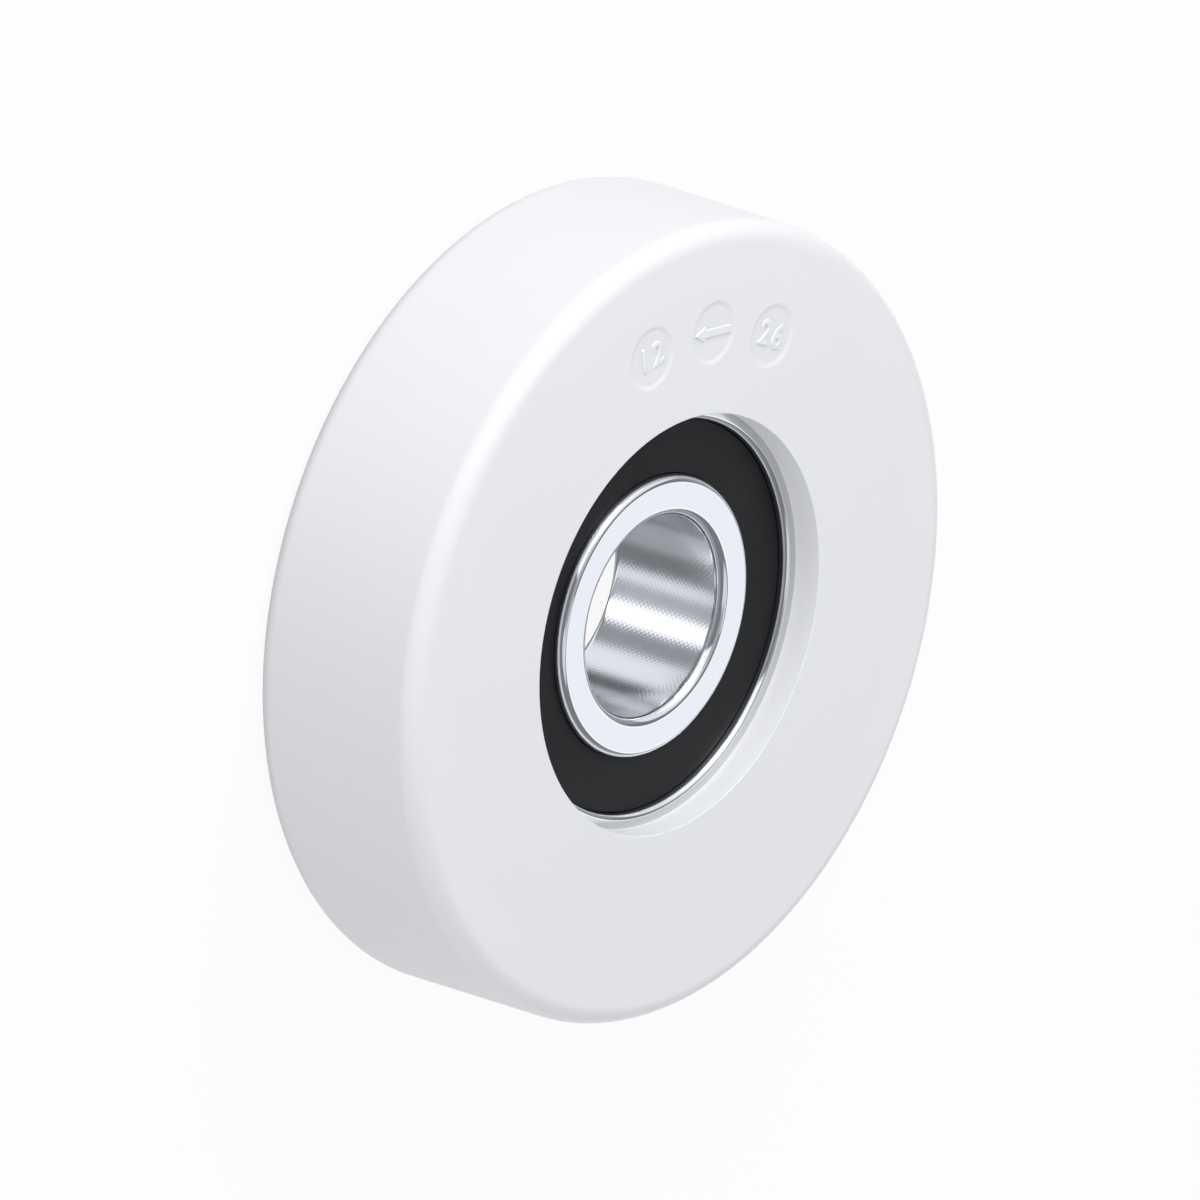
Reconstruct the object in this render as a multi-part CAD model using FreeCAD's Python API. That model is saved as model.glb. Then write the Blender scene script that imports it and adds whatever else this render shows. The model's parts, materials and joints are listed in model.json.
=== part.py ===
"""Guide roller: a moulded plastic wheel on a sealed deep-groove ball bearing.

Millimetres. The roller lies on its back side face: +Z runs along the axis towards the
marked front face, and the origin is the roller's centre.
"""
import FreeCAD, Part
import math
import os

# Roller
ROLLER_D = 80.0
ROLLER_WIDTH = 20.0
SHOULDER_ROUNDING = 2.0
TREAD_THICKNESS = 6.0
OPENING_D = 42.0
OPENING_EDGE_ROUNDING = 0.1
RIM_RIB_WIDTH = 7.0
RIM_RIB_HEIGHT = 1.5

# Round marks sunk into the front face
MARK_COUNT = 3
MARK_D = 6.0
MARK_DEPTH = 0.3
MARK_CIRCLE_R = 29.25
MARK_PITCH_DEG = 18.2
MARK_MIDDLE_DEG = 90.0

# Bearing, size 20 x 47 x 14
BORE_D = 20.0
BEARING_D = 47.0
BEARING_WIDTH = 14.0
RING_CORNER_ROUNDING = 1.0
BALL_D = 7.938
BALL_COUNT = 8
BALL_CLEARANCE = 0.05
GROOVE_TO_BALL = 0.52

# Ring shoulders beside the balls, and the rounded edges beside the seals
INNER_LAND_D = 28.3
INNER_LAND_ROUNDING = 0.8
OUTER_SHOULDER_D = 38.7
OUTER_LIP_D = 39.26
OUTER_LIP_ROUNDING = 0.6

# Seals, snapped into grooves of the outer ring
SEAL_SINK = 0.95
SEAL_THICKNESS = 1.0
SEAL_LIP_CLEARANCE = 0.05
SEAL_LIP_TAPER = 0.35
SEAL_RIM_GAP = 0.08
SEAL_RIM_ROUNDING = 0.3
SEAL_GROOVE_D = 40.6
SEAL_GROOVE_TOP = 5.6
SEAL_GROOVE_WIDTH = 1.2
SEAL_BEAD_WIDTH = 0.85

# Pressed ribbon cage in two riveted halves
CAGE_SHEET = 0.6
CAGE_BAND_WIDTH = 2.7
POCKET_CLEARANCE = 0.12
RIVET_SHANK_D = 1.2
RIVET_HEAD_D = 2.2
RIVET_HEAD_HEIGHT = 0.5
RIVET_HEAD_ROUNDING = 0.4

# Worked out from the sizes above
ROLLER_R = ROLLER_D / 2
ROLLER_TOP = ROLLER_WIDTH / 2
CENTRE_R = ROLLER_R - TREAD_THICKNESS
OPENING_R = OPENING_D / 2
RING_TOP = BEARING_WIDTH / 2
BORE_R = BORE_D / 2
BEARING_R = BEARING_D / 2
INNER_LAND_R = INNER_LAND_D / 2
OUTER_SHOULDER_R = OUTER_SHOULDER_D / 2
OUTER_LIP_R = OUTER_LIP_D / 2
SEAL_GROOVE_R = SEAL_GROOVE_D / 2
PITCH_R = (BORE_R + BEARING_R) / 2
BALL_R = BALL_D / 2
BALL_PITCH_DEG = 360 / BALL_COUNT
GROOVE_R = BALL_D * GROOVE_TO_BALL
POCKET_R = BALL_R + POCKET_CLEARANCE

ORIGIN = FreeCAD.Vector(0, 0, 0)
AXIS = FreeCAD.Vector(0, 0, 1)


def on_circle(radius, degrees, height=0.0):
    """Point at a radius and an angle about the roller's axis."""
    angle = math.radians(degrees)
    return FreeCAD.Vector(radius * math.cos(angle), radius * math.sin(angle), height)


def rounded_corner(before, corner, after, rounding):
    """Start, middle and end of the arc that rounds a corner between two straight runs."""
    to_before = (before - corner).normalize()
    to_after = (after - corner).normalize()
    half_angle = to_before.getAngle(to_after) / 2
    run = rounding / math.tan(half_angle)
    inward = (to_before + to_after).normalize()
    middle = corner + inward * (rounding / math.sin(half_angle) - rounding)
    return corner + to_before * run, middle, corner + to_after * run


def turned(corners):
    """Solid turned about Z from a closed half section of (radius, height, corner rounding)."""
    points = [FreeCAD.Vector(radius, 0, height) for radius, height, _ in corners]
    bends = []
    for index, (_, _, rounding) in enumerate(corners):
        corner = points[index]
        if rounding:
            following = points[(index + 1) % len(points)]
            bends.append(rounded_corner(points[index - 1], corner, following, rounding))
        else:
            bends.append((corner, corner, corner))
    edges = []
    for index, (start, middle, end) in enumerate(bends):
        previous_end = bends[index - 1][2]
        edges.append(Part.LineSegment(previous_end, start).toShape())
        if start != end:
            edges.append(Part.Arc(start, middle, end).toShape())
    return Part.Face(Part.Wire(edges)).revolve(ORIGIN, AXIS, 360)


def both_sides(upper_corners):
    """Half section that mirrors its upper corners below the middle plane."""
    lower_corners = [(radius, -height, rounding) for radius, height, rounding in reversed(upper_corners)]
    return upper_corners + lower_corners


def band(inner_r, outer_r, bottom, top):
    """Plain ring between two radii and two heights."""
    return turned([(inner_r, top, 0), (outer_r, top, 0), (outer_r, bottom, 0), (inner_r, bottom, 0)])


def raceway(groove_bottom_r, towards_axis):
    """Ring of the groove's own section, to cut a ball track out of a ring."""
    centre_r = groove_bottom_r - GROOVE_R if towards_axis else groove_bottom_r + GROOVE_R
    return Part.makeTorus(centre_r, GROOVE_R)


def make_tread():
    """Tread moulded round the wheel centre, with rounded shoulders."""
    rib_top = RIM_RIB_WIDTH / 2
    return turned(both_sides([
        (CENTRE_R + RIM_RIB_HEIGHT, rib_top, 0),
        (CENTRE_R, rib_top, 0),
        (CENTRE_R, ROLLER_TOP, 0),
        (ROLLER_R, ROLLER_TOP, SHOULDER_ROUNDING),
    ]))


def make_wheel_centre():
    """Wheel centre moulded round the bearing, with lips over its faces and a rib under the tread."""
    rib_top = RIM_RIB_WIDTH / 2
    centre = turned(both_sides([
        (BEARING_R, RING_TOP, RING_CORNER_ROUNDING),
        (OPENING_R, RING_TOP, 0),
        (OPENING_R, ROLLER_TOP, OPENING_EDGE_ROUNDING),
        (CENTRE_R, ROLLER_TOP, 0),
        (CENTRE_R, rib_top, 0),
        (CENTRE_R + RIM_RIB_HEIGHT, rib_top, 0),
    ]))
    for index in range(MARK_COUNT):
        degrees = MARK_MIDDLE_DEG + (index - (MARK_COUNT - 1) / 2) * MARK_PITCH_DEG
        floor_point = on_circle(MARK_CIRCLE_R, degrees, ROLLER_TOP - MARK_DEPTH)
        centre = centre.cut(Part.makeCylinder(MARK_D / 2, MARK_DEPTH, floor_point, AXIS))
    return centre


def make_outer_ring():
    """Outer ring with its ball track and a seal groove behind each face."""
    groove_bottom = SEAL_GROOVE_TOP - SEAL_GROOVE_WIDTH
    ring = turned(both_sides([
        (OUTER_SHOULDER_R, groove_bottom, 0),
        (SEAL_GROOVE_R, groove_bottom, 0),
        (SEAL_GROOVE_R, SEAL_GROOVE_TOP, 0),
        (OUTER_LIP_R, SEAL_GROOVE_TOP, 0),
        (OUTER_LIP_R, RING_TOP, OUTER_LIP_ROUNDING),
        (BEARING_R, RING_TOP, RING_CORNER_ROUNDING),
    ]))
    return ring.cut(raceway(PITCH_R + BALL_R + BALL_CLEARANCE, towards_axis=True))


def make_inner_ring():
    """Inner ring with its ball track, rounded at the bore and at the seals' lands."""
    ring = turned(both_sides([
        (BORE_R, RING_TOP, RING_CORNER_ROUNDING),
        (INNER_LAND_R, RING_TOP, INNER_LAND_ROUNDING),
    ]))
    return ring.cut(raceway(PITCH_R - BALL_R - BALL_CLEARANCE, towards_axis=False))


def make_seal():
    """Rubber seal of the front side: a disc with a lip at the inner ring and a bead in its groove."""
    face = RING_TOP - SEAL_SINK
    back = face - SEAL_THICKNESS
    lip_r = INNER_LAND_R + SEAL_LIP_CLEARANCE
    rim_r = OUTER_LIP_R - SEAL_RIM_GAP
    bead_bottom = SEAL_GROOVE_TOP - SEAL_GROOVE_WIDTH
    bead_inner_r = SEAL_GROOVE_R - SEAL_BEAD_WIDTH
    return turned([
        (lip_r, face, 0),
        (rim_r, face, SEAL_RIM_ROUNDING),
        (rim_r, SEAL_GROOVE_TOP, 0),
        (SEAL_GROOVE_R, SEAL_GROOVE_TOP, 0),
        (SEAL_GROOVE_R, bead_bottom, 0),
        (bead_inner_r, bead_bottom, 0),
        (bead_inner_r - (back - bead_bottom), back, 0),
        (lip_r + SEAL_LIP_TAPER, back, 0),
        (lip_r, face - SEAL_LIP_TAPER, 0),
    ])


def make_rivet():
    """Cage rivet at the origin, with a rounded head on each side."""
    head_top = CAGE_SHEET + RIVET_HEAD_HEIGHT
    return turned(both_sides([
        (0, head_top, 0),
        (RIVET_HEAD_D / 2, head_top, RIVET_HEAD_ROUNDING),
        (RIVET_HEAD_D / 2, CAGE_SHEET, 0),
        (RIVET_SHANK_D / 2, CAGE_SHEET, 0),
    ]))


def ball_centres():
    """Centres of the balls, evenly spaced on the pitch circle."""
    return [on_circle(PITCH_R, index * BALL_PITCH_DEG) for index in range(BALL_COUNT)]


def rivet_centres():
    """Centres of the rivets, halfway between neighbouring balls."""
    return [on_circle(PITCH_R, (index + 0.5) * BALL_PITCH_DEG) for index in range(BALL_COUNT)]


def make_cage_half():
    """Front half of the cage: a flat ribbon pressed up into a cup over each ball."""
    cup_r = POCKET_R + CAGE_SHEET
    inner_r = PITCH_R - CAGE_BAND_WIDTH / 2
    outer_r = PITCH_R + CAGE_BAND_WIDTH / 2
    ribbon = band(inner_r, outer_r, 0, CAGE_SHEET)
    blank = band(inner_r, outer_r, 0, cup_r)
    cups = [blank.common(Part.makeSphere(cup_r, centre)) for centre in ball_centres()]
    pockets = [Part.makeSphere(POCKET_R, centre) for centre in ball_centres()]
    holes = [Part.makeCylinder(RIVET_SHANK_D / 2, CAGE_SHEET, centre, AXIS) for centre in rivet_centres()]
    return ribbon.fuse(cups).cut(pockets + holes).removeSplitter()


def make_rivets():
    """All the cage's rivets, as separate solids in one group."""
    rivet = make_rivet()
    return Part.Compound([rivet.translated(centre) for centre in rivet_centres()])


def mirrored(shape):
    """Copy of a shape on the other side of the roller's middle plane."""
    return shape.mirror(ORIGIN, AXIS)


def main():
    """Builds every piece and writes it as one file."""
    seal = make_seal()
    cage_half = make_cage_half()
    nodes = {
        "tread": make_tread(),
        "wheel_centre": make_wheel_centre(),
        "outer_ring": make_outer_ring(),
        "inner_ring": make_inner_ring(),
        "seal_front": seal,
        "seal_back": mirrored(seal),
        "cage_half_front": cage_half,
        "cage_half_back": mirrored(cage_half),
        "cage_rivets": make_rivets(),
    }
    for number, centre in enumerate(ball_centres(), start=1):
        nodes[f"ball_{number}"] = Part.makeSphere(BALL_R, centre)
    os.makedirs("parts", exist_ok=True)
    for name, shape in nodes.items():
        shape.exportStep(f"parts/{name}.step")
        print(f"{name}: {len(shape.Solids)} solid(s), {shape.Volume:.1f} mm3, valid {shape.isValid()}")


main()
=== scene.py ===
"""Looks of the guide roller: its wheel, its ball bearing and the studio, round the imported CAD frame.

Metres, in the frame of the CAD model. The roller lies on its back side face: +Z runs along its axis
towards the marked front face, and the origin is its centre.
"""

import json
import logging
import math
from dataclasses import dataclass
from enum import Enum
from typing import Callable, Sequence

import bpy
from mathutils import Matrix, Vector

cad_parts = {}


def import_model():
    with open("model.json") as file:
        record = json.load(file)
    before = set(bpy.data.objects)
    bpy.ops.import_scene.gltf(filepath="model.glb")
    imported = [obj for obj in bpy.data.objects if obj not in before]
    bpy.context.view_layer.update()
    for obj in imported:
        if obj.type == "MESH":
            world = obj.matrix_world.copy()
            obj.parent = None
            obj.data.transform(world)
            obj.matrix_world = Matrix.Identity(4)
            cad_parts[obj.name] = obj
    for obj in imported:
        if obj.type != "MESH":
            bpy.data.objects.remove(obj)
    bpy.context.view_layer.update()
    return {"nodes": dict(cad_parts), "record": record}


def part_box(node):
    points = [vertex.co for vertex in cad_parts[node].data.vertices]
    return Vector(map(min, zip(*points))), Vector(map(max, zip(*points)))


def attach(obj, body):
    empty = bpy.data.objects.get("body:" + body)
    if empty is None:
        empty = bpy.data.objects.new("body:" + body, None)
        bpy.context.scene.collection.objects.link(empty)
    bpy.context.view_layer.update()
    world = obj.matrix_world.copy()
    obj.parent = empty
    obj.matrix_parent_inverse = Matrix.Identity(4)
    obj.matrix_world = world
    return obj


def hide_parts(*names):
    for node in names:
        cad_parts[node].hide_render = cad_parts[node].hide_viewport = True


LOG = logging.getLogger("guide_roller")
MM = 0.001
TURN_STEPS = 256
ROUNDING_STEP = 0.08 * MM
ROUNDING_SEGMENTS = (4, 14)
ARC_STEPS = 24
SAME_PLACE = 1e-7
SEED_PLANE = 0.1 * MM
SMOOTH_BELOW = math.radians(30)
FLAT_NORMAL = 0.999
# How many times coarser than its relief the change of tone of each effect is
TONE_TO_GRAIN = 40.0
TONE_TO_TURNING = 9.0
TONE_TO_HONING = 4.0
# Watts for each square metre of an area lamp that is as bright as a white surface
WHITE_PANEL_POWER = 4.0
# Width in degrees of a panel that closes round the studio without showing its sides
ALL_ROUND = 400.0
# Top in degrees of the panels that only the bore shows
BELOW_HORIZON = -10.0

Color = tuple[float, float, float]


def deselect_all() -> None:
    """Leaves nothing selected, so that an operator acts only on what follows it."""
    bpy.ops.object.select_all(action="DESELECT")


def make_active(piece: bpy.types.Object) -> None:
    """Selects one piece alone and makes it the active one."""
    deselect_all()
    piece.select_set(True)
    bpy.context.view_layer.objects.active = piece


def select_vertices(piece: bpy.types.Object, test: Callable[[Vector], bool]) -> None:
    """Selects, in edit mode, the vertices of a piece that pass a test of their place.

    Args:
        piece: Mesh object in edit mode.
        test: Says of a vertex's place whether it is selected.
    """
    bpy.ops.mesh.select_mode(type="VERT")
    bpy.ops.mesh.select_all(action="DESELECT")
    bpy.ops.object.mode_set(mode="OBJECT")
    for vertex in piece.data.vertices:
        vertex.select = test(vertex.co)
    bpy.ops.object.mode_set(mode="EDIT")


def select_faces(piece: bpy.types.Object, test: Callable[[Vector, Vector], bool]) -> None:
    """Selects, in edit mode, the faces of a piece that pass a test of their centre and normal.

    Args:
        piece: Mesh object in edit mode.
        test: Says of a face's centre and normal whether it is selected.
    """
    bpy.ops.mesh.select_mode(type="FACE")
    bpy.ops.mesh.select_all(action="DESELECT")
    bpy.ops.object.mode_set(mode="OBJECT")
    for face in piece.data.polygons:
        face.select = test(face.center, face.normal)
    bpy.ops.object.mode_set(mode="EDIT")


def draw_vertex(name: str, place: Vector) -> bpy.types.Object:
    """Starts an outline: a small plane, merged in edit mode to one vertex.

    Args:
        name: Name of the new piece.
        place: Where its first vertex lies.

    Returns:
        The new piece, in edit mode with that vertex selected.
    """
    deselect_all()
    bpy.ops.mesh.primitive_plane_add(size=SEED_PLANE, location=place)
    piece = bpy.context.object
    piece.name = name
    bpy.ops.object.transform_apply(location=True, rotation=True, scale=True)
    bpy.ops.object.mode_set(mode="EDIT")
    bpy.ops.mesh.select_mode(type="VERT")
    bpy.ops.mesh.select_all(action="SELECT")
    bpy.ops.mesh.merge(type="CENTER")
    return piece


def draw_line(start: Vector, end: Vector) -> None:
    """Extrudes the last vertex of an outline from one corner to the next."""
    bpy.ops.mesh.extrude_region_move(TRANSFORM_OT_translate={"value": end - start})


def close_outline() -> None:
    """Joins the last vertex of an outline to its first one, which lies at the same place."""
    bpy.ops.mesh.select_all(action="SELECT")
    bpy.ops.mesh.remove_doubles(threshold=SAME_PLACE)


def smooth_finish(piece: bpy.types.Object) -> None:
    """Closes a modelled piece: normals outwards, smooth round stretches and true flat faces."""
    bpy.ops.mesh.select_all(action="SELECT")
    bpy.ops.mesh.remove_doubles(threshold=SAME_PLACE)
    bpy.ops.mesh.normals_make_consistent(inside=False)
    bpy.ops.object.mode_set(mode="OBJECT")
    make_active(piece)
    bpy.ops.object.shade_smooth_by_angle(angle=SMOOTH_BELOW)
    weighting = piece.modifiers.new("flat_faces", "WEIGHTED_NORMAL")
    weighting.keep_sharp = True
    bpy.ops.object.modifier_apply(modifier=weighting.name)


@dataclass(frozen=True)
class Corner:
    """Corner of a turned piece's half section, at a radius and a height, with its rounding."""

    radius: float
    height: float
    rounding: float = 0.0

    def place(self) -> Vector:
        """Gives the corner's place in the XZ plane."""
        return Vector((self.radius, 0, self.height))

    def mirrored(self) -> "Corner":
        """Gives the same corner below the middle plane."""
        return Corner(self.radius, -self.height, self.rounding)


@dataclass(frozen=True)
class Track(Corner):
    """End of a round stretch, swept anticlockwise about a centre in the middle plane."""

    centre_radius: float = 0.0

    def sweep_from(self, start: Vector) -> float:
        """Gives the angle that the stretch turns through from its start."""
        first = math.atan2(start.z, start.x - self.centre_radius)
        last = math.atan2(self.height, self.radius - self.centre_radius)
        return (last - first) % math.tau


def both_sides(upper: Sequence[Corner]) -> list[Corner]:
    """Gives a closed half section that mirrors its upper corners below the middle plane."""
    return list(upper) + [corner.mirrored() for corner in reversed(upper)]


def round_corners(piece: bpy.types.Object, section: Sequence[Corner]) -> None:
    """Bevels the section's corners that have a rounding, all of one rounding at a time.

    Args:
        piece: Outline in edit mode.
        section: The corners that it was drawn from.
    """
    for rounding in sorted({corner.rounding for corner in section if corner.rounding}):
        places = [corner.place() for corner in section if corner.rounding == rounding]
        select_vertices(piece, lambda co: any((co - place).length < SAME_PLACE for place in places))
        fewest, most = ROUNDING_SEGMENTS
        segments = min(max(round(rounding / ROUNDING_STEP), fewest), most)
        bpy.ops.mesh.bevel(offset_type="OFFSET", offset=rounding, segments=segments, profile=0.5,
                           affect="VERTICES", clamp_overlap=False)


def turn(name: str, section: Sequence[Corner]) -> bpy.types.Object:
    """Models a turned piece: its half section is drawn, rounded and spun about Z.

    Args:
        name: Name of the new piece.
        section: Corners of the closed half section, in order.

    Returns:
        The finished piece, in object mode.
    """
    end = section[0].place()
    piece = draw_vertex(name, end)
    for corner in list(section[1:]) + [section[0]]:
        if isinstance(corner, Track):
            bpy.ops.mesh.spin(steps=ARC_STEPS, angle=corner.sweep_from(end), axis=(0, 1, 0),
                              center=(corner.centre_radius, 0, 0))
        else:
            draw_line(end, corner.place())
        end = corner.place()
    close_outline()
    round_corners(piece, section)
    bpy.ops.mesh.select_all(action="SELECT")
    bpy.ops.mesh.spin(steps=TURN_STEPS, angle=math.tau, center=(0, 0, 0), axis=(0, 0, 1),
                      use_auto_merge=True)
    smooth_finish(piece)
    return piece


def dress(piece: bpy.types.Object, *materials: bpy.types.Material) -> None:
    """Gives a piece its materials, in the order of its material slots."""
    piece.data.materials.clear()
    for material in materials:
        piece.data.materials.append(material)


def paint_faces(piece: bpy.types.Object, slot: int, test: Callable[[Vector, Vector], bool]) -> None:
    """Gives one of a piece's materials to the faces that pass a test.

    Args:
        piece: Mesh object in object mode.
        slot: Number of the material slot.
        test: Says of a face's centre and normal whether it gets that material.
    """
    make_active(piece)
    bpy.ops.object.mode_set(mode="EDIT")
    select_faces(piece, test)
    piece.active_material_index = slot
    bpy.ops.object.material_slot_assign()
    bpy.ops.object.mode_set(mode="OBJECT")


class ShaderGraph:
    """Short way to add nodes to a node tree and to join them."""

    def __init__(self, tree: bpy.types.NodeTree) -> None:
        """Starts on an empty tree."""
        self.tree = tree
        tree.nodes.clear()

    def add(self, kind: str, inputs: dict | None = None, **settings: object) -> bpy.types.Node:
        """Adds one node.

        Args:
            kind: Blender's name of the node type.
            inputs: Values or sockets for the node's inputs, by name or number.
            settings: Properties of the node itself.

        Returns:
            The new node.
        """
        node = self.tree.nodes.new(kind)
        for name, value in settings.items():
            setattr(node, name, value)
        for key, value in (inputs or {}).items():
            if isinstance(value, bpy.types.NodeSocket):
                self.tree.links.new(value, node.inputs[key])
            else:
                node.inputs[key].default_value = value
        return node

    def math(self, operation: str, *values: object) -> bpy.types.NodeSocket:
        """Adds a Math node on values or sockets and gives its result."""
        node = self.add("ShaderNodeMath", dict(enumerate(values)), operation=operation)
        return node.outputs[0]

    def spread(self, value: bpy.types.NodeSocket, low: float, high: float) -> bpy.types.NodeSocket:
        """Maps a value from 0 to 1 onto a range and gives the result."""
        node = self.add("ShaderNodeMapRange", {"Value": value, "To Min": low, "To Max": high})
        return node.outputs["Result"]

    def rise(self, value: bpy.types.NodeSocket, low: float, high: float) -> bpy.types.NodeSocket:
        """Goes smoothly from 0 to 1 as a value goes from low to high, and gives the result."""
        node = self.add("ShaderNodeMapRange", {"Value": value, "From Min": low, "From Max": high},
                        interpolation_type="SMOOTHSTEP")
        return node.outputs["Result"]

    def radius(self, parts: object) -> bpy.types.NodeSocket:
        """Works out the distance from the Z axis of a place, given in its parts."""
        squares = [self.math("MULTIPLY", parts[name], parts[name]) for name in "XY"]
        return self.math("SQRT", self.math("ADD", *squares))

    def blend(self, share: bpy.types.NodeSocket, first: Color, second: Color) -> bpy.types.NodeSocket:
        """Mixes two colours by a share from 0 to 1 and gives the result."""
        node = self.add("ShaderNodeMix", {"Factor": share, "A": (*first, 1), "B": (*second, 1)},
                        data_type="RGBA")
        return node.outputs["Result"]


class Effect(Enum):
    """Effects that several finishes share, each one a node group."""

    MOULDED_GRAIN = "moulded grain"
    TURNED_LINES = "turned lines"
    HONED_LINES = "honed lines"

    def group(self) -> bpy.types.NodeTree:
        """Gives the effect's node group, which is built at its first use."""
        found = bpy.data.node_groups.get(self.value)
        return found or self._build()

    def _build(self) -> bpy.types.NodeTree:
        """Builds the group, with the size of the pattern going in and its relief and tone coming out."""
        tree = bpy.data.node_groups.new(self.value, "ShaderNodeTree")
        tree.interface.new_socket("Size", in_out="INPUT", socket_type="NodeSocketFloat")
        tree.interface.new_socket("Relief", in_out="OUTPUT", socket_type="NodeSocketFloat")
        tree.interface.new_socket("Tone", in_out="OUTPUT", socket_type="NodeSocketFloat")
        graph = ShaderGraph(tree)
        size = graph.add("NodeGroupInput").outputs["Size"]
        place = graph.add("ShaderNodeTexCoord").outputs["Object"]
        if self is Effect.MOULDED_GRAIN:
            relief, tone = self._grain(graph, place, size)
        elif self is Effect.TURNED_LINES:
            relief, tone = self._turned(graph, place, size)
        else:
            relief, tone = self._honed(graph, place, size)
        graph.add("NodeGroupOutput", {"Relief": relief, "Tone": tone})
        return tree

    @staticmethod
    def _grain(graph: ShaderGraph, place: bpy.types.NodeSocket, size: bpy.types.NodeSocket) -> tuple:
        """Adds the fine skin of a mould and, many times larger, its change of tone."""
        scale = graph.math("DIVIDE", 1.0, size)
        wide_scale = graph.math("DIVIDE", scale, TONE_TO_GRAIN)
        fine = graph.add("ShaderNodeTexNoise", {"Vector": place, "Scale": scale, "Detail": 3.0})
        wide = graph.add("ShaderNodeTexNoise", {"Vector": place, "Scale": wide_scale, "Detail": 2.0})
        return fine.outputs["Fac"], wide.outputs["Fac"]

    @staticmethod
    def _turned(graph: ShaderGraph, place: bpy.types.NodeSocket, size: bpy.types.NodeSocket) -> tuple:
        """Adds the fine lines that grinding leaves round the axis."""
        parts = graph.add("ShaderNodeSeparateXYZ", {"Vector": place}).outputs
        across = graph.math("DIVIDE", graph.math("ADD", graph.radius(parts), parts["Z"]), size)
        lines = graph.add("ShaderNodeTexNoise", {"W": across, "Scale": 1.0, "Detail": 2.0},
                          noise_dimensions="1D")
        wide_across = graph.math("DIVIDE", across, TONE_TO_TURNING)
        bands = graph.add("ShaderNodeTexNoise", {"W": wide_across, "Scale": 1.0}, noise_dimensions="1D")
        return lines.outputs["Fac"], bands.outputs["Fac"]

    @staticmethod
    def _honed(graph: ShaderGraph, place: bpy.types.NodeSocket, size: bpy.types.NodeSocket) -> tuple:
        """Adds the crossed lines that honing leaves in a bore, a whole number of them round it."""
        parts = graph.add("ShaderNodeSeparateXYZ", {"Vector": place}).outputs
        around = graph.math("DIVIDE", graph.math("MULTIPLY", graph.radius(parts), math.tau), size)
        angle = graph.math("ARCTAN2", parts["Y"], parts["X"])
        turned = graph.math("MULTIPLY", angle, graph.math("ROUND", around))
        along = graph.math("DIVIDE", graph.math("MULTIPLY", parts["Z"], math.tau), size)
        rising = graph.math("SINE", graph.math("ADD", turned, along))
        falling = graph.math("SINE", graph.math("SUBTRACT", turned, along))
        wide_scale = graph.math("DIVIDE", graph.math("DIVIDE", 1.0, size), TONE_TO_HONING)
        patches = graph.add("ShaderNodeTexNoise", {"Vector": place, "Scale": wide_scale})
        return graph.math("ADD", rising, falling), patches.outputs["Fac"]


@dataclass(frozen=True)
class Finish:
    """Surface of one material: a colour that changes a little, a roughness and a fine relief."""

    name: str
    color: Color
    dark_color: Color
    roughness: float
    roughness_spread: float
    effect: Effect
    pattern_size: float
    relief: float
    metallic: float = 0.0
    gloss: float = 0.5

    def material(self) -> bpy.types.Material:
        """Gives the finish as a material, which is built at its first use."""
        found = bpy.data.materials.get(self.name)
        return found or self._build()

    def _build(self) -> bpy.types.Material:
        """Builds the material's nodes."""
        material = bpy.data.materials.new(self.name)
        material.use_nodes = True
        graph = ShaderGraph(material.node_tree)
        pattern = graph.add("ShaderNodeGroup", node_tree=self.effect.group())
        pattern.inputs["Size"].default_value = self.pattern_size
        relief, tone = pattern.outputs["Relief"], pattern.outputs["Tone"]
        bump = graph.add("ShaderNodeBump", {"Height": relief, "Strength": 1.0, "Distance": self.relief})
        rough = graph.spread(tone, self.roughness - self.roughness_spread,
                             self.roughness + self.roughness_spread)
        surface = graph.add("ShaderNodeBsdfPrincipled", {
            "Base Color": graph.blend(tone, self.dark_color, self.color),
            "Roughness": rough,
            "Metallic": self.metallic,
            "Specular IOR Level": self.gloss,
            "Normal": bump.outputs["Normal"],
        })
        graph.add("ShaderNodeOutputMaterial", {"Surface": surface.outputs[0]})
        return material


TREAD_PLASTIC = Finish("tread plastic", (0.875, 0.885, 0.91), (0.865, 0.875, 0.9), 0.4, 0.04,
                       Effect.MOULDED_GRAIN, 0.35 * MM, 0.004 * MM)
CENTRE_PLASTIC = Finish("centre plastic", (0.87, 0.88, 0.905), (0.86, 0.87, 0.895), 0.42, 0.04,
                        Effect.MOULDED_GRAIN, 0.3 * MM, 0.004 * MM)
SEAL_RUBBER = Finish("seal rubber", (0.014, 0.014, 0.015), (0.012, 0.012, 0.013), 0.5, 0.06,
                     Effect.MOULDED_GRAIN, 0.2 * MM, 0.008 * MM, gloss=0.2)
BALL_STEEL = Finish("lapped ball steel", (0.82, 0.83, 0.85), (0.8, 0.81, 0.83), 0.06, 0.02,
                    Effect.MOULDED_GRAIN, 0.1 * MM, 0.0005 * MM, metallic=1.0)
CAGE_STEEL = Finish("pressed cage steel", (0.6, 0.6, 0.61), (0.5, 0.5, 0.51), 0.34, 0.08,
                    Effect.MOULDED_GRAIN, 0.15 * MM, 0.006 * MM, metallic=1.0)


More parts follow.
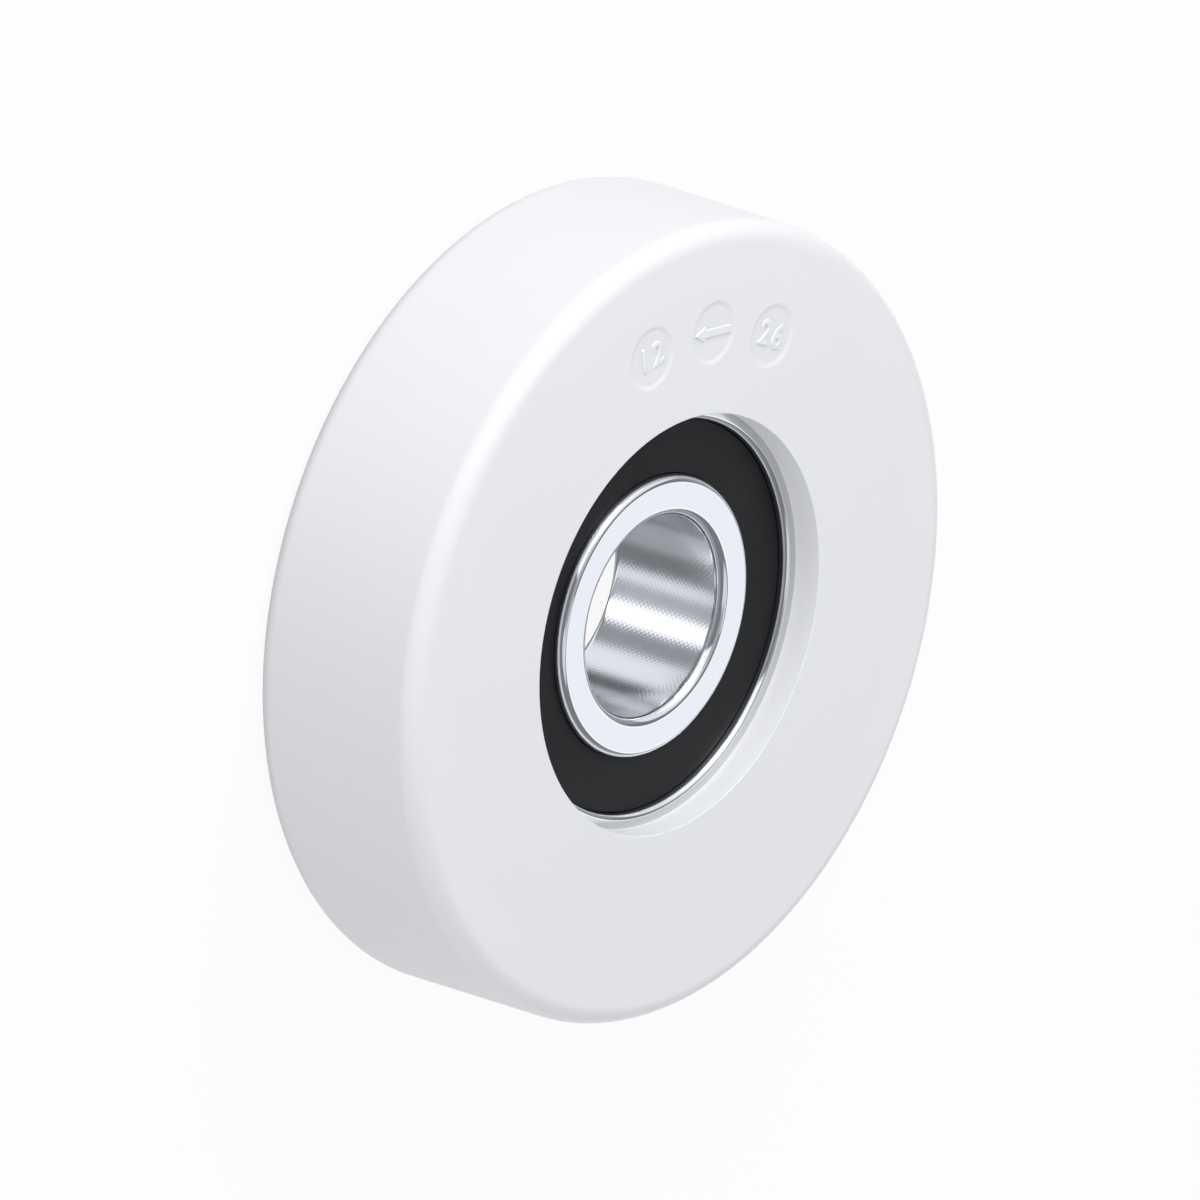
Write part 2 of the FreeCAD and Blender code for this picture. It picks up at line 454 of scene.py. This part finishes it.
class RingZone(Enum):
    """Parts of a bearing ring's surface, each ground or polished in its own way; the outer ring's flat
    faces are a darker copy of the ground steel, with painted shade.
    """

    CORNER = Finish("polished ring corners", (0.83, 0.835, 0.85), (0.81, 0.815, 0.83), 0.07, 0.02,
                    Effect.TURNED_LINES, 0.1 * MM, 0.0004 * MM, metallic=1.0)
    FACE = Finish("ground ring faces", (0.78, 0.785, 0.8), (0.76, 0.765, 0.78), 0.16, 0.03,
                  Effect.TURNED_LINES, 0.12 * MM, 0.0006 * MM, metallic=1.0)
    # Outer ring's flat faces: ground steel whose colour is darkened to paint the shade of the plastic lip
    # over them and their dim reflection of it
    RIM = Finish("ring rim with painted shade", (0.68, 0.68, 0.685), (0.66, 0.66, 0.665), 0.18, 0.03,
                 Effect.TURNED_LINES, 0.12 * MM, 0.0006 * MM, metallic=1.0)
    BORE = Finish("honed bore", (0.82, 0.825, 0.84), (0.78, 0.785, 0.8), 0.22, 0.03,
                  Effect.HONED_LINES, 0.55 * MM, 0.0012 * MM, metallic=1.0)


@dataclass
class PlasticWheel:
    """Moulded wheel: the tread, the centre that carries it and the marks on its front face."""

    radius: float
    top: float
    centre_radius: float
    bearing_radius: float
    bearing_top: float
    shoulder_rounding: float = 2.0 * MM
    rib_top: float = 3.5 * MM
    rib_height: float = 1.5 * MM
    opening_radius: float = 21.0 * MM
    opening_edge_rounding: float = 0.1 * MM
    seat_rounding: float = 1.0 * MM
    mark_radius: float = 3.0 * MM
    mark_depth: float = 0.18 * MM
    mark_wall_run: float = 0.4 * MM
    mark_circle: float = 29.25 * MM
    mark_pitch: float = math.radians(18.2)
    mark_rim_rounding: float = 0.16 * MM
    mark_rim_lift: float = 0.002 * MM
    mark_cutter_margin: float = 0.48 * MM
    mark_floor_rounding: float = 0.12 * MM
    mark_top_clearance: float = 0.01 * MM
    mark_top_rounding: float = 0.08 * MM
    mark_root: float = 0.1 * MM
    arrow_length: float = 5.5 * MM
    arrow_shaft: float = 0.8 * MM
    arrow_head: float = 1.5 * MM
    arrow_turn: float = math.radians(2)
    number_size: float = 3.4 * MM
    number_spacing: float = 1.2
    left_number: str = "12"
    right_number: str = "26"

    @classmethod
    def from_frame(cls) -> "PlasticWheel":
        """Gives the wheel with the sizes of the CAD nodes that it stands for."""
        tread_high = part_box("tread")[1]
        bearing_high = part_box("outer_ring")[1]
        centre_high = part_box("wheel_centre")[1]
        return cls(radius=tread_high.x, top=tread_high.z, centre_radius=centre_high.x - cls.rib_height,
                   bearing_radius=bearing_high.x, bearing_top=bearing_high.z)

    def build(self) -> None:
        """Models and dresses every piece of the wheel."""
        self.finish_piece(self.make_tread(), TREAD_PLASTIC, "tread_plastic", "tread")
        self.finish_piece(self.make_centre(), CENTRE_PLASTIC, "centre_plastic", "wheel_centre")
        marks = [
            self.make_arrow(),
            self.make_number(1, self.left_number),
            self.make_number(-1, self.right_number),
        ]
        for mark in marks:
            self.finish_piece(mark, CENTRE_PLASTIC, "centre_plastic")

    def finish_piece(self, piece: bpy.types.Object, finish: Finish, slot: str, *nodes: str) -> None:
        """Dresses a piece of the wheel and makes it turn with the roller.

        Args:
            piece: The modelled piece.
            finish: Its finish.
            slot: The record's name of its material; not used.
            nodes: CAD nodes that it stands for.
        """
        dress(piece, finish.material())
        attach(piece, "roller")
        if nodes:
            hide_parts(*nodes)
        LOG.info("wheel: %s, %d faces", piece.name, len(piece.data.polygons))

    def make_tread(self) -> bpy.types.Object:
        """Models the tread with its rounded shoulders and the groove over the centre's rib."""
        groove_radius = self.centre_radius + self.rib_height
        return turn("roller_tread", both_sides([
            Corner(groove_radius, self.rib_top),
            Corner(self.centre_radius, self.rib_top),
            Corner(self.centre_radius, self.top),
            Corner(self.radius, self.top, self.shoulder_rounding),
        ]))

    def make_centre(self) -> bpy.types.Object:
        """Models the wheel centre with its lips over the bearing and its sunk round marks."""
        centre = turn("roller_centre", both_sides([
            Corner(self.bearing_radius, self.bearing_top, self.seat_rounding),
            Corner(self.opening_radius, self.bearing_top),
            Corner(self.opening_radius, self.top, self.opening_edge_rounding),
            Corner(self.centre_radius, self.top),
            Corner(self.centre_radius, self.rib_top),
            Corner(self.centre_radius + self.rib_height, self.rib_top),
        ]))
        for index in (-1, 0, 1):
            self.sink_mark(centre, self.mark_place(index))
        bpy.ops.object.mode_set(mode="EDIT")
        smooth_finish(centre)
        return centre

    def mark_angle(self, index: int) -> float:
        """Gives the angle about the axis of a mark, counted anticlockwise from the middle one."""
        return math.pi / 2 + index * self.mark_pitch

    def mark_place(self, index: int) -> Vector:
        """Gives the centre of a mark, on the front face."""
        angle = self.mark_angle(index)
        return Vector((self.mark_circle * math.cos(angle), self.mark_circle * math.sin(angle), self.top))

    def sink_mark(self, centre: bpy.types.Object, place: Vector) -> None:
        """Cuts one shallow round mark with a soft, sloping wall into the front face.

        Args:
            centre: The wheel centre.
            place: Middle of the mark, on the front face.
        """
        half_run = self.mark_wall_run / 2
        rim = self.mark_radius + half_run + self.mark_cutter_margin
        cutter = turn("mark_cutter", [
            Corner(0, -self.mark_depth),
            Corner(self.mark_radius - half_run, -self.mark_depth, self.mark_floor_rounding),
            Corner(self.mark_radius + half_run, self.mark_rim_lift, self.mark_rim_rounding),
            Corner(rim, self.mark_rim_lift),
            Corner(rim, self.mark_depth),
            Corner(0, self.mark_depth),
        ])
        cutter.matrix_world = Matrix.Translation(place)
        make_active(centre)
        cut = centre.modifiers.new("mark", "BOOLEAN")
        cut.object = cutter
        cut.operation = "DIFFERENCE"
        cut.solver = "EXACT"
        bpy.ops.object.modifier_apply(modifier=cut.name)
        bpy.data.objects.remove(cutter)

    def place_mark(self, mark: bpy.types.Object, index: int, turn_by: float = 0.0) -> bpy.types.Object:
        """Sets a raised mark, modelled flat at the origin, onto the floor of its round recess.

        Args:
            mark: The raised mark, with its root at height zero.
            index: Number of its recess, counted anticlockwise from the middle one.
            turn_by: Angle by which it is turned anticlockwise in the recess.

        Returns:
            The mark, with its place in its mesh.
        """
        root = self.mark_place(index) - Vector((0, 0, self.mark_depth + self.mark_root))
        upright = self.mark_angle(index) - math.pi / 2
        mark.matrix_world = Matrix.Translation(root) @ Matrix.Rotation(upright + turn_by, 4, "Z")
        make_active(mark)
        bpy.ops.object.transform_apply(location=True, rotation=True, scale=True)
        return mark

    def mark_height(self) -> float:
        """Gives the height of a raised mark from its root to just below the front face."""
        return self.mark_depth + self.mark_root - self.mark_top_clearance

    def make_arrow(self) -> bpy.types.Object:
        """Models the raised arrow of the middle mark, which points to the left."""
        tip = -self.arrow_length / 2
        neck = tip + self.arrow_head
        half_shaft = self.arrow_shaft / 2
        half_head = self.arrow_head / 2
        corners = [Vector(corner) for corner in (
            (tip, 0, 0), (neck, half_head, 0), (neck, half_shaft, 0), (-tip, half_shaft, 0),
            (-tip, -half_shaft, 0), (neck, -half_shaft, 0), (neck, -half_head, 0),
        )]
        arrow = draw_vertex("mark_arrow", corners[0])
        for start, end in zip(corners, corners[1:] + corners[:1]):
            draw_line(start, end)
        close_outline()
        bpy.ops.mesh.edge_face_add()
        bpy.ops.mesh.extrude_region_move(TRANSFORM_OT_translate={"value": (0, 0, self.mark_height())})
        select_faces(arrow, lambda centre, normal: centre.z > self.mark_height() - SAME_PLACE)
        bpy.ops.mesh.bevel(offset=self.mark_top_rounding, segments=3, affect="EDGES")
        smooth_finish(arrow)
        return self.place_mark(arrow, 0, self.arrow_turn)

    def make_number(self, index: int, digits: str) -> bpy.types.Object:
        """Models the raised plain number of one of the outer marks.

        Args:
            index: Number of its recess, counted anticlockwise from the middle one.
            digits: The number.

        Returns:
            The raised number.
        """
        deselect_all()
        bpy.ops.object.text_add()
        number = bpy.context.object
        number.name = f"mark_number_{digits}"
        number.data.body = digits
        number.data.size = self.number_size
        number.data.align_x = "CENTER"
        number.data.align_y = "CENTER"
        number.data.space_character = self.number_spacing
        number.data.bevel_depth = self.mark_top_rounding
        number.data.bevel_resolution = 2
        number.data.extrude = self.mark_height() / 2 - self.mark_top_rounding
        bpy.ops.object.convert(target="MESH")
        number.location.z = self.mark_height() / 2
        bpy.ops.object.transform_apply(location=True, rotation=True, scale=True)
        bpy.ops.object.mode_set(mode="EDIT")
        smooth_finish(number)
        return self.place_mark(number, index)


@dataclass
class BallBearing:
    """Sealed ball bearing: two rings and two seals, modelled round the balls and cage of the frame."""

    bore_radius: float
    outer_radius: float
    top: float
    land_radius: float
    ball_radius: float
    pitch_radius: float
    seal_low: float
    seal_face: float
    seal_groove_radius: float
    ball_clearance: float = 0.05 * MM
    groove_to_ball: float = 1.04
    corner_rounding: float = 1.0 * MM
    land_rounding: float = 0.8 * MM
    shoulder_radius: float = 19.35 * MM
    lip_radius: float = 19.63 * MM
    lip_rounding: float = 0.6 * MM
    seal_groove_width: float = 1.2 * MM
    seal_thickness: float = 1.0 * MM
    seal_lip_gap: float = 0.05 * MM
    seal_lip_taper: float = 0.35 * MM
    seal_rim_gap: float = 0.04 * MM
    seal_rim_rounding: float = 0.12 * MM
    seal_bead_width: float = 0.85 * MM

    @classmethod
    def from_frame(cls, record: dict) -> "BallBearing":
        """Gives the bearing with the sizes of the CAD nodes that it stands for.

        Args:
            record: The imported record, whose bore mount gives the bore.

        Returns:
            The bearing.
        """
        bore = next(mount for mount in record["mounts"] if mount["name"] == "bore")
        outer_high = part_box("outer_ring")[1]
        ball_low, ball_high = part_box("ball_1")
        seal_low, seal_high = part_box("seal_front")
        return cls(bore_radius=bore["dims"]["r_mm"] * MM, outer_radius=outer_high.x, top=outer_high.z,
                   land_radius=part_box("inner_ring")[1].x, ball_radius=(ball_high.x - ball_low.x) / 2,
                   pitch_radius=(ball_high.x + ball_low.x) / 2, seal_low=seal_low.z, seal_face=seal_high.z,
                   seal_groove_radius=seal_high.x)

    def build(self, nodes: dict[str, bpy.types.Object]) -> None:
        """Models and dresses every piece of the bearing.

        Args:
            nodes: The CAD nodes, whose balls and cage stay as they are and get their finish.
        """
        inner_zones = (RingZone.CORNER, RingZone.FACE, RingZone.BORE)
        self.finish_ring(self.make_inner_ring(), "inner_ring", "inner_ring", inner_zones)
        # Its flat faces take the darker steel finish with painted shade
        outer_zones = (RingZone.CORNER, RingZone.RIM)
        self.finish_ring(self.make_outer_ring(), "roller", "outer_ring", outer_zones)
        for side, name in ((1, "front"), (-1, "back")):
            seal = self.make_seal(f"{name}_seal", side)
            dress(seal, SEAL_RUBBER.material())
            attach(seal, "roller")
            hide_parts(f"seal_{name}")
            LOG.info("bearing: %s, %d faces", seal.name, len(seal.data.polygons))
        for name, node in nodes.items():
            if name.startswith(("ball", "cage")):
                finish = BALL_STEEL if name.startswith("ball") else CAGE_STEEL
                dress(node, finish.material())
                LOG.info("bearing: %s keeps its shape", name)

    def groove_radius(self) -> float:
        """Gives the radius of the ball track's own section."""
        return self.ball_radius * self.groove_to_ball

    def track_half_width(self, edge_radius: float, centre_radius: float) -> float:
        """Gives half the width of a ball track where it meets the ring's shoulder."""
        return math.sqrt(self.groove_radius() ** 2 - (edge_radius - centre_radius) ** 2)

    def make_inner_ring(self) -> bpy.types.Object:
        """Models the inner ring with its ball track."""
        bottom = self.pitch_radius - self.ball_radius - self.ball_clearance
        centre = bottom + self.groove_radius()
        half = self.track_half_width(self.land_radius, centre)
        return turn("bearing_inner_ring", [
            Corner(self.bore_radius, self.top, self.corner_rounding),
            Corner(self.land_radius, self.top, self.land_rounding),
            Corner(self.land_radius, half),
            Track(self.land_radius, -half, centre_radius=centre),
            Corner(self.land_radius, -self.top, self.land_rounding),
            Corner(self.bore_radius, -self.top, self.corner_rounding),
        ])

    def make_outer_ring(self) -> bpy.types.Object:
        """Models the outer ring with its ball track and its seal grooves."""
        bottom = self.pitch_radius + self.ball_radius + self.ball_clearance
        centre = bottom - self.groove_radius()
        half = self.track_half_width(self.shoulder_radius, centre)
        groove_top = self.seal_low + self.seal_groove_width
        upper = [
            Corner(self.shoulder_radius, self.seal_low),
            Corner(self.seal_groove_radius, self.seal_low),
            Corner(self.seal_groove_radius, groove_top),
            Corner(self.lip_radius, groove_top),
            Corner(self.lip_radius, self.top, self.lip_rounding),
            Corner(self.outer_radius, self.top, self.corner_rounding),
        ]
        track = [
            Corner(self.shoulder_radius, -half),
            Track(self.shoulder_radius, half, centre_radius=centre),
        ]
        return turn("bearing_outer_ring", both_sides(upper) + track)

    def make_seal(self, name: str, side: int) -> bpy.types.Object:
        """Models one seal, a disc with a lip at the inner ring and a bead in the outer ring's groove.

        Args:
            name: Name of the piece.
            side: 1 for the front seal and -1 for the back one.

        Returns:
            The seal.
        """
        lip = self.land_radius + self.seal_lip_gap
        rim = self.lip_radius - self.seal_rim_gap
        back = self.seal_face - self.seal_thickness
        groove_top = self.seal_low + self.seal_groove_width
        bead = self.seal_groove_radius - self.seal_bead_width
        front = [
            Corner(lip, self.seal_face),
            Corner(rim, self.seal_face, self.seal_rim_rounding),
            Corner(rim, groove_top),
            Corner(self.seal_groove_radius, groove_top),
            Corner(self.seal_groove_radius, self.seal_low),
            Corner(bead, self.seal_low),
            Corner(bead - (back - self.seal_low), back),
            Corner(lip + self.seal_lip_taper, back),
            Corner(lip, self.seal_face - self.seal_lip_taper),
        ]
        return turn(name, front if side > 0 else [corner.mirrored() for corner in front])

    def in_zone(self, zone: RingZone, centre: Vector, normal: Vector) -> bool:
        """Says whether a face of a ring lies in a zone, where the corners are all that no other zone takes.

        Args:
            zone: Zone of the ring's surface.
            centre: Centre of the face.
            normal: Normal of the face.

        Returns:
            Whether it lies in the zone.
        """
        if zone is RingZone.BORE:
            straight = self.top - self.corner_rounding
            return centre.xy.length < self.bore_radius + SAME_PLACE and abs(centre.z) < straight
        return zone is RingZone.CORNER or abs(normal.z) > FLAT_NORMAL

    def finish_ring(self, ring: bpy.types.Object, body: str, node: str, zones: Sequence[RingZone]) -> None:
        """Dresses a ring zone by zone and makes it ride on its body.

        Args:
            ring: The modelled ring.
            body: CAD body that it rides on.
            node: CAD node that it stands for.
            zones: Zones of its surface, each painted over the ones before it.
        """
        dress(ring, *(zone.value.material() for zone in zones))
        for slot, zone in enumerate(zones):
            paint_faces(ring, slot, lambda centre, normal: self.in_zone(zone, centre, normal))
        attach(ring, body)
        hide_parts(node)
        LOG.info("bearing: %s, %d faces", ring.name, len(ring.data.polygons))


@dataclass(frozen=True)
class Softbox:
    """Panel of soft light that points at the roller, from an azimuth and an elevation in degrees."""

    name: str
    azimuth: float
    elevation: float
    width: float
    height: float
    brightness: float
    in_mirrors: bool = True
    distance: float = 0.4

    def place(self) -> None:
        """Adds the lamp. Its power gives the panel the brightness that a white surface would have."""
        turn_up, turn_round = math.radians(self.elevation), math.radians(self.azimuth)
        level = math.cos(turn_up)
        towards = Vector((level * math.cos(turn_round), level * math.sin(turn_round), math.sin(turn_up)))
        deselect_all()
        bpy.ops.object.light_add(type="AREA", location=towards * self.distance,
                                 rotation=towards.to_track_quat("Z", "Y").to_euler())
        panel = bpy.context.object
        panel.name = self.name
        panel.visible_camera = False
        panel.visible_glossy = self.in_mirrors
        panel.data.shape = "RECTANGLE"
        panel.data.size = self.width
        panel.data.size_y = self.height
        panel.data.energy = WHITE_PANEL_POWER * self.width * self.height * self.brightness
        LOG.info("studio: %s", self.name)


@dataclass(frozen=True)
class Panel:
    """Tall panel of the studio that only polished steel shows, with its middle and width in degrees."""

    azimuth: float
    width: float
    brightness: float
    bottom: float = -90.0
    top: float = 90.0
    edge: float = 10.0

    def seen_at(self, graph: ShaderGraph, azimuth: bpy.types.NodeSocket,
                height: bpy.types.NodeSocket) -> bpy.types.NodeSocket:
        """Adds the panel's brightness in every direction.

        Args:
            graph: The sky's graph.
            azimuth: Azimuth of the direction, in radians.
            height: Sine of the direction's elevation.

        Returns:
            The panel's brightness.
        """
        turned = graph.math("SUBTRACT", azimuth, math.radians(self.azimuth))
        away = graph.math("ABSOLUTE", graph.math("WRAP", turned, math.pi, -math.pi))
        half, edge = math.radians(self.width / 2), math.radians(self.edge)
        across = graph.rise(away, half + edge / 2, half - edge / 2)
        foot, head = math.sin(math.radians(self.bottom)), math.sin(math.radians(self.top))
        above = graph.rise(height, foot - edge, foot)
        below = graph.rise(height, head + edge, head)
        return graph.math("MULTIPLY", graph.math("MULTIPLY", across, self.brightness),
                          graph.math("MULTIPLY", above, below))


@dataclass
class Studio:
    """White studio: a pale floor, a soft sky, softboxes and the camera at the picture's viewing angle."""

    floor_height: float
    axis_azimuth: float = 50.09
    axis_elevation: float = 22.08
    mark_turn: float = 10.2
    picture_width: float = 115.66 * MM
    camera_distance: float = 0.5
    floor_radius: float = 4.0
    floor_sides: int = 128
    floor_rim: float = 1.0 * MM
    floor_color: Color = (0.25, 0.25, 0.25)
    seen_floor_color: Color = (0.98, 0.98, 0.98)
    white_share: float = 0.92
    window_radius: float = 18.0 * MM
    sky_level: float = 1.32
    zenith_level: float = 0.27
    zenith_foot: tuple[float, float] = (0.5, 0.8)
    sky_color: Color = (0.985, 0.99, 1.0)
    softboxes: tuple[Softbox, ...] = (
        Softbox("key softbox", 98.0, 32.0, 0.155, 0.31, 2.9),
        Softbox("fill softbox", 150.0, 8.0, 0.3, 0.1, 1.9, in_mirrors=False),
    )
    mirrored_color: Color = (0.965, 1.0, 1.06)
    dark_level: float = 0.1
    panels: tuple[Panel, ...] = (
        # Below the horizon, where the bore looks.
        Panel(5.0, 18.0, 0.5, top=BELOW_HORIZON),
        Panel(47.0, 20.0, 0.55, top=BELOW_HORIZON),
        Panel(98.0, 38.0, 1.0, top=BELOW_HORIZON),
        Panel(128.0, 24.0, 0.32, top=BELOW_HORIZON),
        Panel(157.0, 26.0, 1.7, top=BELOW_HORIZON),
        Panel(184.0, 50.0, 0.48, top=BELOW_HORIZON),
        Panel(200.0, 18.0, 1.0, top=BELOW_HORIZON),
        Panel(240.0, 120.0, 0.2, top=BELOW_HORIZON),
        Panel(258.0, 44.0, 0.42, top=BELOW_HORIZON),
        Panel(316.0, 24.0, 0.8, top=BELOW_HORIZON),
        # Above it, where the flat faces and the rounded corners look.
        Panel(342.0, 30.0, 1.12, bottom=26.0, top=48.0, edge=4.0),
        Panel(45.0, 34.0, 0.9, bottom=8.0, top=70.0),
        Panel(101.0, 92.0, 1.18, bottom=14.0, top=60.0),
        Panel(275.0, 130.0, 0.8, bottom=62.0, top=71.0, edge=4.0),
        Panel(0.0, ALL_ROUND, 0.36, bottom=-8.0, top=26.0),
        Panel(0.0, ALL_ROUND, 0.22, bottom=20.0, top=74.0),
        Panel(0.0, ALL_ROUND, 0.42, bottom=76.0, edge=4.0),
    )

    def build(self) -> None:
        """Makes the floor, the light and the camera."""
        self.make_floor()
        self.make_sky()
        for softbox in self.softboxes:
            softbox.place()
        self.make_camera()
        bpy.context.scene.view_settings.view_transform = "Standard"

    def view_axes(self) -> tuple[Vector, Vector, Vector]:
        """Works out the picture's directions in the frame.

        Returns:
            The directions to the right and up in the picture, and back towards the viewer.
        """
        azimuth, elevation = math.radians(self.axis_azimuth), math.radians(self.axis_elevation)
        right = Vector((math.cos(azimuth), 0, math.sin(azimuth)))
        back = Vector((-math.sin(azimuth) * math.cos(elevation), math.sin(elevation),
                       math.cos(azimuth) * math.cos(elevation)))
        turned = Matrix.Rotation(math.radians(self.mark_turn), 3, "Z")
        return turned @ right, turned @ back.cross(right), turned @ back

    def make_camera(self) -> None:
        """Adds the camera, without perspective as in the picture."""
        right, up, back = self.view_axes()
        deselect_all()
        bpy.ops.object.camera_add()
        camera = bpy.context.object
        camera.name = "picture camera"
        camera.data.type = "ORTHO"
        camera.data.ortho_scale = self.picture_width
        camera.data.clip_start = 1.0 * MM
        turned = Matrix((right, up, back)).transposed().to_4x4()
        camera.matrix_world = Matrix.Translation(back * self.camera_distance) @ turned
        bpy.context.scene.camera = camera

    def make_floor(self) -> None:
        """Models the round floor on which the roller lies: a thin sheet with its rim turned down."""
        deselect_all()
        bpy.ops.mesh.primitive_circle_add(vertices=self.floor_sides, radius=self.floor_radius,
                                          fill_type="NGON", location=(0, 0, self.floor_height))
        floor = bpy.context.object
        floor.name = "studio_floor"
        bpy.ops.object.transform_apply(location=True, rotation=True, scale=True)
        bpy.ops.object.mode_set(mode="EDIT")
        bpy.ops.mesh.select_mode(type="EDGE")
        bpy.ops.mesh.select_all(action="SELECT")
        bpy.ops.mesh.region_to_loop()
        bpy.ops.mesh.extrude_edges_move(TRANSFORM_OT_translate={"value": (0, 0, -self.floor_rim)})
        smooth_finish(floor)
        dress(floor, self.floor_material())
        LOG.info("studio: floor")

    def floor_material(self) -> bpy.types.Material:
        """Gives the floor's material: white to the viewer and in mirrors, with the roller's shadow on it.

        Returns:
            The material. Under the bore it has a round window that only mirrors look through, so that the
            polished bore shows the studio's panels.
        """
        material = bpy.data.materials.new("studio floor")
        material.use_nodes = True
        graph = ShaderGraph(material.node_tree)
        rays = graph.add("ShaderNodeLightPath").outputs
        seen = graph.math("MAXIMUM", rays["Is Camera Ray"], rays["Is Transmission Ray"])
        seen = graph.math("MAXIMUM", seen, rays["Is Glossy Ray"])
        share = graph.math("MULTIPLY", seen, self.white_share)
        lit = graph.add("ShaderNodeBsdfDiffuse", {
            "Color": graph.blend(seen, self.floor_color, self.seen_floor_color),
        })
        white = graph.add("ShaderNodeEmission", {"Color": (1, 1, 1, 1), "Strength": 1.0})
        pale = graph.add("ShaderNodeMixShader", {0: share, 1: lit.outputs[0], 2: white.outputs[0]})
        place = graph.add("ShaderNodeTexCoord").outputs["Object"]
        parts = graph.add("ShaderNodeSeparateXYZ", {"Vector": place}).outputs
        in_window = graph.math("LESS_THAN", graph.radius(parts), self.window_radius)
        clear = graph.add("ShaderNodeBsdfTransparent")
        through = graph.math("MULTIPLY", in_window, rays["Is Glossy Ray"])
        mixed = graph.add("ShaderNodeMixShader", {0: through, 1: pale.outputs[0], 2: clear.outputs[0]})
        graph.add("ShaderNodeOutputMaterial", {"Surface": mixed.outputs[0]})
        return material

    def make_sky(self) -> None:
        """Makes the soft light of the room and the panels that polished steel shows in its place."""
        world = bpy.data.worlds.new("studio sky")
        bpy.context.scene.world = world
        world.use_nodes = True
        graph = ShaderGraph(world.node_tree)
        direction = graph.add("ShaderNodeTexCoord").outputs["Generated"]
        parts = graph.add("ShaderNodeSeparateXYZ", {"Vector": direction}).outputs
        soft = graph.spread(graph.rise(parts["Z"], *self.zenith_foot), self.sky_level, self.zenith_level)
        mirrored = self.mirrored_level(graph, graph.math("ARCTAN2", parts["Y"], parts["X"]), parts["Z"])
        mirror_ray = graph.add("ShaderNodeLightPath").outputs["Is Glossy Ray"]
        strength = graph.math("MULTIPLY_ADD", mirror_ray, graph.math("SUBTRACT", mirrored, soft), soft)
        color = graph.blend(mirror_ray, self.sky_color, self.mirrored_color)
        sky = graph.add("ShaderNodeBackground", {"Color": color, "Strength": strength})
        graph.add("ShaderNodeOutputWorld", {"Surface": sky.outputs[0]})
        LOG.info("studio: sky with %d panels", len(self.panels))

    def mirrored_level(self, graph: ShaderGraph, azimuth: bpy.types.NodeSocket,
                       height: bpy.types.NodeSocket) -> bpy.types.NodeSocket:
        """Adds the panels and the dark gaps between them.

        Args:
            graph: The sky's graph.
            azimuth: Azimuth of the direction, in radians.
            height: Sine of its elevation.

        Returns:
            The strength of what polished steel shows.
        """
        levels = [panel.seen_at(graph, azimuth, height) for panel in self.panels]
        brightest = graph.math("MAXIMUM", self.dark_level, levels[0])
        for level in levels[1:]:
            brightest = graph.math("MAXIMUM", brightest, level)
        return brightest


def main() -> None:
    """Loads the frame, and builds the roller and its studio."""
    logging.basicConfig(level=logging.INFO, format="%(message)s")
    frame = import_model()
    PlasticWheel.from_frame().build()
    BallBearing.from_frame(frame["record"]).build(frame["nodes"])
    Studio(floor_height=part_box("tread")[0].z).build()


if __name__ == "__main__":
    main()
